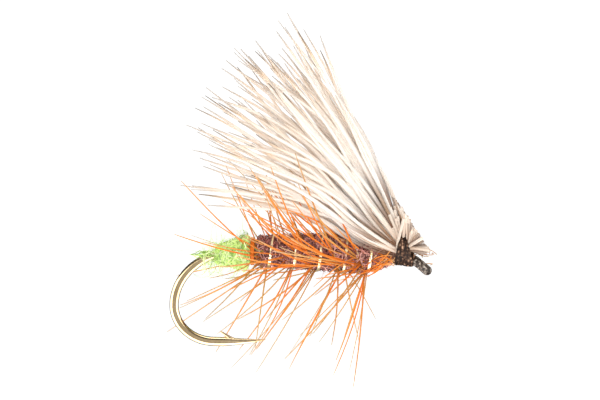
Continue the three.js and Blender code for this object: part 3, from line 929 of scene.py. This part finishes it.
def wing_paths(rng, aside, above, rear):
    """The hairs behind the collar: they leave it in a fan and gather into tufts at their tips."""
    count = len(aside)
    rank = fan_rank(above)
    centres = rng.uniform(-0.9, 0.9, (TUFTS, 2))
    apart = np.hypot(above[:, None] - centres[:, 0], aside[:, None] - centres[:, 1])
    tuft = np.argmin(apart, 1)
    nearest = centres[tuft]
    pull_up, pull_aside = (nearest[:, 0] - above) * 0.55, (nearest[:, 1] - aside) * 0.55
    tuft_rise, tuft_length = rng.normal(0, 1.8, TUFTS)[tuft], rng.normal(0, 0.6, TUFTS)[tuft]
    stray = np.where(rng.random(count) < 0.12, 2.4, 1.0)
    rise_off = np.minimum(rng.normal(0, 2.3, count) * stray, 5 - 3 * rank)
    turn_off = rng.normal(0, 3.0, count) * stray
    rise_bow, turn_bow = rng.normal(0, 8.5, count), rng.normal(0, 7.0, count)
    wave, wave_at = rng.normal(0, 4.5, count), rng.uniform(0, math.tau, count)
    longest = np.interp(rank, *HAIR_LENGTHS)
    length = np.minimum(longest - 4.6 * rng.random(count) ** 1.05 + tuft_length, longest)
    path = [rear]
    for step in range(HAIR_STEPS):
        share = (step + 0.5) / HAIR_STEPS
        low, high = np.interp(share, RISE_SHARES, RISE_LOW), np.interp(share, RISE_SHARES, RISE_HIGH)
        rise = lerp(low, high, rank) + (pull_up * 26 + tuft_rise) * share + rise_off
        rise = rise + rise_bow * (share - 0.3) + wave * np.sin(wave_at + share * 7)
        turn = aside * lerp(20, 8, share) * lerp(0.8, 1.3, rank) + pull_aside * 14 * share
        turn = turn + turn_off + turn_bow * (share - 0.3)
        stride = (length / HAIR_STEPS)[:, None]
        path.append(path[-1] + heading(np.radians(rise), np.radians(turn)) * stride)
    return np.stack(path, 1)


def butt_paths(rng, aside, above, front):
    """The hairs in front of the collar, from their cut ends: the thread forces the lower ones up."""
    count = len(aside)
    rank = fan_rank(above)
    place = np.clip(rank + rng.normal(0, 0.1, count), 0, 1)[:, None]
    foot, cut = lerp(TRIM_FOOT, TRIM_LOW, place * 10), lerp(TRIM_LOW, TRIM_HIGH, place * 1.11 - 0.11)
    end = np.where(place < 0.1, foot, cut)
    end[:, 1] = aside * 1.1 + rng.normal(0, 0.12, count)
    lift = np.maximum(0, 0.9 - front[:, 2]) * 0.5
    bend = front + np.stack([np.full(count, 0.05), front[:, 1] * 0.1, lift + 0.05], 1)
    end = end - (end - bend) * np.clip(rng.normal(0.03, 0.11, count), -0.04, 0.6)[:, None]
    controls = np.stack([end, lerp(bend, end, 0.66), lerp(bend, end, 0.33), bend, front], 1)
    return smooth_curve(controls, BUTT_STEPS)


def from_collar(paths, crossing):
    """How far along each hair a point is: 0 at its cut end, the collar's share there and 1 at its tip."""
    butts, wing = lengths_along(paths[:, :crossing + 1]), lengths_along(paths[:, crossing:])
    return np.concatenate([butts[:, :-1] * COLLAR_SHARE, lerp(COLLAR_SHARE, 1.0, wing)], 1)


def hair_radii(paths, rng):
    """Hollow hair: pinched under the thread, full just behind it and tapering finely to the tip."""
    travelled = lengths_along(paths)
    away = np.abs(paths[:, :, 0] - COLLAR_X) + np.maximum(0, paths[:, :, 2] - COLLAR_HEIGHT - 0.7)
    behind = np.interp(away, [0.26, 0.5, 0.9, 1.9], [0, 0.5, 0.8, 1])
    ahead = np.interp(away, [0.24, 0.6, 1.2], [0, 0.68, 0.8])
    pinch = np.where(paths[:, :, 0] > COLLAR_X, ahead, behind)
    taper = np.interp(travelled, [0.3, 0.62, 0.82, 0.93, 1.0], [1.0, 0.92, 0.70, 0.44, 0.18])
    full = HAIR_RADIUS * rng.uniform(0.8, 1.15, len(paths))[:, None]
    return lerp(PINCHED_RADIUS, full, pinch) * taper


def cut_on_trim_line(rings):
    """Slants each butt's end into the line of the scissors, wherever that is not too long a slant."""
    towards = unit(rings[:, 0].mean(1) - rings[:, 1].mean(1))
    slope = np.maximum(np.sum(towards * TRIM_NORMAL, -1), 0.55)
    offset = rings[:, 0] - rings[:, 0].mean(1, keepdims=True)
    gap = np.sum(offset * TRIM_NORMAL, -1) / slope[:, None]
    rings[:, 0] -= towards[:, None] * gap[..., None]
    return rings


def stray_butts(rng):
    """Short cut hairs: a few caught beside the collar, and many that stand up over it."""
    count = UPRIGHT_BUTTS
    aside = rng.uniform(-0.75, 0.75, count)
    place = rng.uniform(-0.3, 0.32, count)
    top = COLLAR_HEIGHT + np.sqrt(COLLAR_RADIUS**2 - aside**2)
    upright = np.stack([COLLAR_X + place, aside, top - 0.25], 1)
    lean = unit(np.stack([place * 1.7 - 0.05, aside * 0.3, np.ones(count)], 1))
    to_trim = ((TRIM_LOW - upright) @ TRIM_NORMAL) / (lean @ TRIM_NORMAL)
    tall = np.minimum(to_trim, UPRIGHT_HEIGHT) * (1 - 0.6 * rng.random(count) ** 2)
    tips = np.concatenate([SIDE_BUTT_TIPS, upright + lean * tall[:, None]])
    roots = np.concatenate([SIDE_BUTT_ROOTS, upright])
    inner = roots - [0.0, 0.0, 0.5]
    inner[:, 1] *= 0.9
    paths = smooth_curve(np.stack([tips, lerp(tips, roots, 0.5), roots, inner], 1), STRAY_STEPS)
    radii = np.linspace(0.105, 0.075, STRAY_STEPS)[None] * rng.uniform(0.8, 1.1, len(paths))[:, None]
    return paths, radii


def hair_bundle(rng):
    """Every hair's path, radii, places along it and tint, and its height in the bundle. The tint is mostly
    painted shade: the sunk hairs are thin beside the collar and get a high tint, so they are painted brown
    there, which leaves dark gaps between the others."""
    aside, above = bundle_places()
    count = len(aside)
    crossing = np.stack([np.zeros(count), aside, above], 1) * BUNDLE_RADIUS + [COLLAR_X, 0, COLLAR_HEIGHT]
    front = crossing * [1, 0.78, 0.72] + [0.24, 0, COLLAR_HEIGHT * 0.28 + 0.24]
    rear = crossing * [1, 1, 0.85] + [-0.26, 0, (COLLAR_HEIGHT + BUNDLE_RADIUS) * 0.15]
    wing = wing_paths(rng, aside, above, rear)
    paths = np.concatenate([butt_paths(rng, aside, above, front), crossing[:, None], wing], 1)
    radii = hair_radii(paths, rng)
    along = from_collar(paths, BUTT_STEPS)
    # Painted shade: deep hairs and sunk ones get a high tint, which the hair material turns brown near the
    # collar; the rest of the tint is random tone.
    depth = np.clip(1.25 - np.hypot(aside, above * 0.6), 0, 1)
    sunk = rng.random(count) < np.interp(np.hypot(aside, above), [0.5, 0.85], [0.85, 0.5])
    tints = np.clip(depth * 0.7 + rng.normal(0.03, 0.12, count) + sunk * 0.6, 0, 1)
    thinned, swollen = (np.interp(along, [COLLAR_SHARE, 0.4], [size, 1]) for size in (0.62, 1.2))
    return paths, radii * np.where(sunk[:, None], thinned, swollen), along, tints, above


def share_out(things, lock):
    return things[lock * len(things) // LOCKS:(lock + 1) * len(things) // LOCKS]


def elk_wing():
    rng = np.random.default_rng(51)
    material = elk_hair_material()
    paths, radii, along, tints, above = hair_bundle(rng)
    order = np.argsort(above, kind="stable")
    hair_nodes = sorted(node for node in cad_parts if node.startswith("elk_hair"))
    for lock in range(LOCKS):
        chosen = share_out(order, lock)
        hairs = Strands(seed=60 + lock)
        shades = {"tints": tints[chosen], "along": along[chosen]}
        hairs.add(paths[chosen], radii[chosen], 7, ends=cut_on_trim_line, **shades)
        if lock == LOCKS // 2:
            strays, stray_radii = stray_butts(rng)
            stray_tints = hairs.rng.uniform(0, 0.4, len(strays))
            stray_along = np.linspace(0, 0.1, STRAY_STEPS)
            hairs.add(strays, stray_radii, 10, tints=stray_tints, along=stray_along)
        piece = hairs.build(f"elk_hair_lock_{lock + 1}", material, sharp=50)
        finished(piece, "elk_hair", *share_out(hair_nodes, lock))


# Thread

THREAD_STRAND = 0.052
THREAD_OVERLAP = 3
THREAD_PIECE = 20
TURN_STEPS = 32
COLLAR_WRAPS = 46
NECK_END = -0.42

# Passes of the head's wraps: where each starts and ends, and its number of wraps
HEAD_PASSES = ((COLLAR_X - 0.42, NECK_END, 14), (NECK_END - 0.04, COLLAR_X + 0.1, 10))
HEAD_STATIONS = (COLLAR_X - 0.45, COLLAR_X, HEAD_LOW[0] + 0.1, HEAD_HIGH[0], NECK_END)
HEAD_RADII = (0.34, 0.42, 0.42, 0.36, 0.29)
HEAD_LIFTS = (0.06, 0.15, 0.12, 0.05, 0.0)

BASE_PITCH = 0.06
BASE_STRAND = 0.034
REAR_WRAPS = 5
REAR_STRAND = 0.036


def add_thread(thread, path):
    """Adds a long wound path in pieces that overlap a little, so that each can have its tint."""
    starts = np.arange(0, len(path) - THREAD_PIECE, THREAD_PIECE - THREAD_OVERLAP)
    pieces = path[starts[:, None] + np.arange(THREAD_PIECE)]
    thread.add(pieces, THREAD_STRAND, sides=6)


def collar_wraps(material):
    """Wraps over the hair: they cross as they fan out round the shank and draw together on top."""
    turns = np.linspace(0, COLLAR_WRAPS, COLLAR_WRAPS * TURN_STEPS)
    angle = turns * math.tau
    layer = turns / COLLAR_WRAPS
    height = np.sin(angle)
    foot = COLLAR_X + 0.16 + 0.46 * np.sin(turns * 2.4)
    crown = COLLAR_X + 0.03 + 0.12 * np.sin(turns * 1.7 + 1)
    belly = COLLAR_X + 0.02 + 0.40 * np.sin(turns * 2.4)
    share = (height + 1) / 2
    x = (1 - share) ** 2 * foot + 2 * share * (1 - share) * belly + share**2 * crown
    forward = np.maximum(0, x - COLLAR_X - 0.1)
    top = COLLAR_HEIGHT + COLLAR_RADIUS - 0.02 + 0.06 * layer - forward * 1.7
    bottom = SHANK_HEIGHT - THREAD_RADIUS - 0.03 * layer
    radius = (top - bottom) / 2
    path = coil(x, angle, (top + bottom) / 2, radius) * [1, 1.03, 1]
    thread = Strands(seed=72)
    add_thread(thread, path)
    finished(thread.build("thread_collar_wraps", material), "tying_thread", "thread_collar")


def head_wraps(material):
    """Wraps round the shank from just behind the collar, down over the neck to the eye."""
    line = hook_line()
    line = line[len(line) // 2:]
    thread = Strands(seed=73)
    for layer, (start, end, wraps) in enumerate(HEAD_PASSES):
        turns = np.linspace(0, wraps, wraps * TURN_STEPS)
        x = lerp(start, end, turns / wraps) + 0.03 * np.sin(turns * 5)
        radius = np.interp(x, HEAD_STATIONS, HEAD_RADII) + layer * 0.04
        middle = np.interp(x, line[:, 0], line[:, 1]) + np.interp(x, HEAD_STATIONS, HEAD_LIFTS)
        add_thread(thread, coil(x, turns * math.tau, middle, radius))
    finished(thread.build("thread_head_wraps", material), "tying_thread", "thread_head")


def shank_wraps(material):
    """The base of thread on the shank, which shows in the gaps between the fur and the hair."""
    wraps = int((THREAD_HIGH[0] - THREAD_LOW[0]) / BASE_PITCH)
    turns = np.linspace(0, wraps, wraps * 14)
    x = lerp(THREAD_LOW[0], THREAD_HIGH[0], turns / wraps)
    path = coil(x, turns * math.tau, wire_height(x), THREAD_RADIUS - 0.03)
    thread = Strands(seed=74)
    thread.add(path[None], BASE_STRAND, sides=5)
    finished(thread.build("thread_base_wraps", material), "tying_thread", "thread_underbody")


def rear_band(material):
    low, high = box_mm("thread_rear_band")
    turns = np.linspace(0, REAR_WRAPS, REAR_WRAPS * 40)
    radius = (high[2] - low[2]) / 2 + 0.01
    x = lerp(low[0] - 0.02, high[0] + 0.02, turns / REAR_WRAPS)
    path = coil(x, turns * math.tau, (high[2] + low[2]) / 2, radius)
    thread = Strands(seed=75)
    thread.add(path[None], REAR_STRAND, sides=6)
    finished(thread.build("thread_rear_wraps", material), "tying_thread", "thread_rear_band")


# Studio

VIEW_MIDDLE = Vector((-6.80, 0.0, 3.35))
VIEW_WIDTH = 33.0
VIEW_ROLL = math.radians(2.2)
VIEW_CLIP = (0.005, 5)
LENS = 120
SENSOR = 36

# The world's greys along an axis, from -1 to 1: SOFT lights, SIDES and CROWN are reflected
SOFT = ((-1.0, 0.46), (0.0, 0.50), (1.0, 0.62))
SIDES = ((-1.0, 0.86), (-0.93, 0.78), (-0.89, 0.08), (-0.8, 5.6), (-0.1, 5.4), (0.1, 0.06), (1.0, 0.2))
CROWN = ((-1.0, 1.0), (0.36, 1.0), (0.46, 0.05), (0.78, 0.05), (0.88, 1.0))

# Square lamps that face the fly: place, size and radiance
LAMP_TARGET = Vector((-7, 0, 3))
LAMPS = {
    "front_light": ((-12, -172, 18), 60, 16.0),
    "key_light": ((-50, -155, 75), 110, 0.35),
    "back_light": ((-20, 120, 90), 120, 3.0),
}
FLOOR_HEIGHT = -22.0
FLOOR_REACH = 1500.0


def camera():
    data = bpy.data.cameras.new("camera")
    data.lens = LENS
    data.sensor_width = SENSOR
    data.clip_start, data.clip_end = VIEW_CLIP
    holder = add_object("camera", data)
    right = Vector((math.cos(VIEW_ROLL), 0, math.sin(VIEW_ROLL)))
    up = Vector((-math.sin(VIEW_ROLL), 0, math.cos(VIEW_ROLL)))
    back = right.cross(up)
    turn = Matrix((right, up, back)).transposed().to_4x4()
    distance = VIEW_WIDTH * LENS / SENSOR
    holder.matrix_world = Matrix.Translation((VIEW_MIDDLE + back * distance) * MM) @ turn
    bpy.context.scene.camera = holder


def soft_light(name, place, size, radiance):
    data = bpy.data.lights.new(name, "AREA")
    data.shape = "SQUARE"
    data.size = size * MM
    data.energy = radiance * math.pi * (size * MM) ** 2
    lamp = add_object(name, data)
    lamp.visible_glossy = False
    lamp.location = Vector(place) * MM
    lamp.rotation_euler = (LAMP_TARGET * MM - lamp.location).to_track_quat("-Z", "Y").to_euler()


def white_world():
    """White for the camera, soft for diffuse light, and for reflections a bright near side with dark
    edges, which draws the lines on the polished wire."""
    world = bpy.data.worlds.new("white_studio")
    bpy.context.scene.world = world
    world.use_nodes = True
    wiring = Wiring(world.node_tree)
    shown = wiring.tree.nodes["Background"]
    shown.inputs["Color"].default_value = rgba(1)
    shown.inputs["Strength"].default_value = 1.1
    directions = wiring.add("ShaderNodeTexCoord").outputs["Generated"]
    axes = wiring.add("ShaderNodeSeparateXYZ", {0: directions})
    ray = wiring.add("ShaderNodeLightPath")

    def tent(axis, stops):
        """A shade of grey that varies along one axis, from its negative to its positive side."""
        spread = wiring.add("ShaderNodeMapRange", {"Value": axes.outputs[axis], "From Min": -1})
        return wiring.ramp(spread.outputs["Result"], [((spot + 1) / 2, shade) for spot, shade in stops])

    def light(color):
        return wiring.add("ShaderNodeBackground", {"Color": color}).outputs[0]

    def choose(kind, otherwise, chosen):
        inputs = {"Fac": ray.outputs[kind], 1: otherwise, 2: chosen}
        return wiring.add("ShaderNodeMixShader", inputs).outputs[0]

    factors = {0: tent("Y", SIDES), 1: tent("Z", CROWN)}
    shine = wiring.add("ShaderNodeVectorMath", factors, operation="MULTIPLY").outputs[0]
    ambient = choose("Is Glossy Ray", light(tent("Z", SOFT)), light(shine))
    seen = choose("Is Camera Ray", ambient, shown.outputs[0])
    wiring.tree.links.new(seen, wiring.tree.nodes["World Output"].inputs["Surface"])


def studio():
    scene = bpy.context.scene
    scene.view_settings.view_transform = "Standard"
    scene.cycles.max_bounces = 16
    scene.cycles.diffuse_bounces = 14
    white_world()
    for name, (place, size, radiance) in LAMPS.items():
        soft_light(name, place, size, radiance)


def floor():
    """A plain pale floor well below the fly, which is held up by its eye."""
    corners = ((-1, -1), (1, -1), (1, 1), (-1, 1))
    points = np.array([(x * FLOOR_REACH, y * FLOOR_REACH, FLOOR_HEIGHT) for x, y in corners])
    glow = {"Emission_Color": rgba(1), "Emission_Strength": 0.5}
    surface = Surface("pale_floor", 0.9, Base_Color=rgba(0.95), **glow)
    piece = mesh_piece("studio_floor", points, [[0, 1, 2, 3]], surface.material, 60)
    piece.visible_glossy = False


camera()
studio()
floor()

finished(hook_wire(), "bronzed_hook_steel", "hook")
finished(eye_ring(), "bronzed_hook_steel")
finished(point_barb(), "bronzed_hook_steel")
egg_sac_butt()
dubbed_abdomen()
rib_wire()
hackle_feather()
elk_wing()
brown_thread = thread_material()
for wind in (shank_wraps, rear_band, collar_wraps, head_wraps):
    wind(brown_thread)
